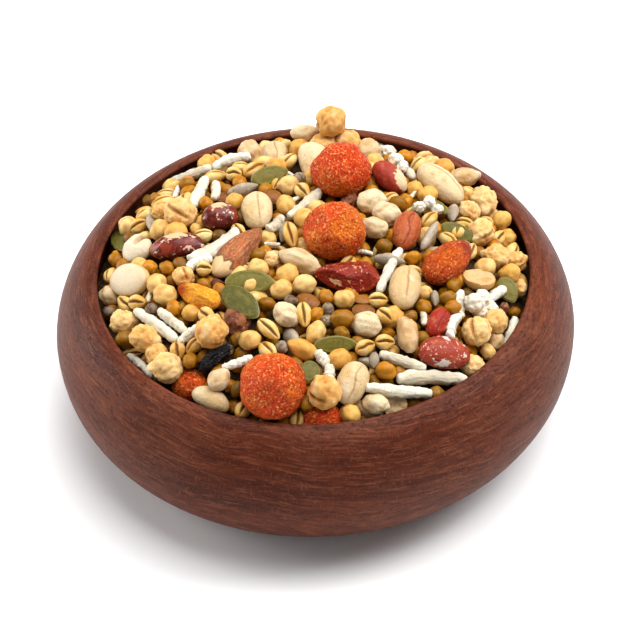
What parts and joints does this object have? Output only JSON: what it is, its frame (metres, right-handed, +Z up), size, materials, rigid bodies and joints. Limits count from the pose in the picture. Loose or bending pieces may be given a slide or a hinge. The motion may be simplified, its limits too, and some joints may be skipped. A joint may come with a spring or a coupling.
{
  "type": "bowl of trail mix",
  "caption": "Round dark wooden bowl with a wide belly and a narrower mouth, heaped with roasted nuts, chickpeas, grains, seeds and orange coated nuts.",
  "frame": {"origin": "middle of the bowl's foot, on the surface it stands on", "axes": "+Z up out of the bowl; +Y away from the side that the picture shows, +X to its right"},
  "size_m": [0.16, 0.16, 0.0764],
  "materials": {
    "wood": "dark reddish brown turned wood, oiled, satin",
    "mix": "matt roasted food",
    "coating": "gritty orange-red spice coating, matt",
    "turmeric": "gritty yellow-orange spice coating, matt",
    "almond_skin": "brown almond skin, ridged, low sheen",
    "red_bean": "dark red bean skin with pale patches, low sheen",
    "red_skin": "thin red-brown peanut skin, low sheen",
    "cream": "cream roasted kernel, smooth, low sheen",
    "raisin": "black wrinkled raisin skin, low sheen"
  },
  "bodies": {
    "root": {"bowl": "wood", "mix_heap": "mix", "coated_ball_back": "coating", "coated_ball_middle": "coating", "coated_ball_front": "coating", "coated_ball_rim": "coating", "coated_ball_left": "coating", "coated_almond_orange": "coating", "coated_almond_yellow": "turmeric", "almond_cracked": "almond_skin", "almond_dark": "almond_skin", "bean_left": "red_bean", "bean_back": "red_bean", "bean_right": "red_bean", "peanut_red": "red_skin", "peanut_skin_right": "red_skin", "peanut_skin_back": "red_skin", "peanut_wrinkled": "cream", "kernel_claw": "cream", "peanut_back": "cream", "peanut_tall": "cream", "peanut_right": "cream", "peanut_front": "cream", "bean_white": "cream", "kernel_corn": "cream", "raisin": "raisin"}
  },
  "joints": []
}
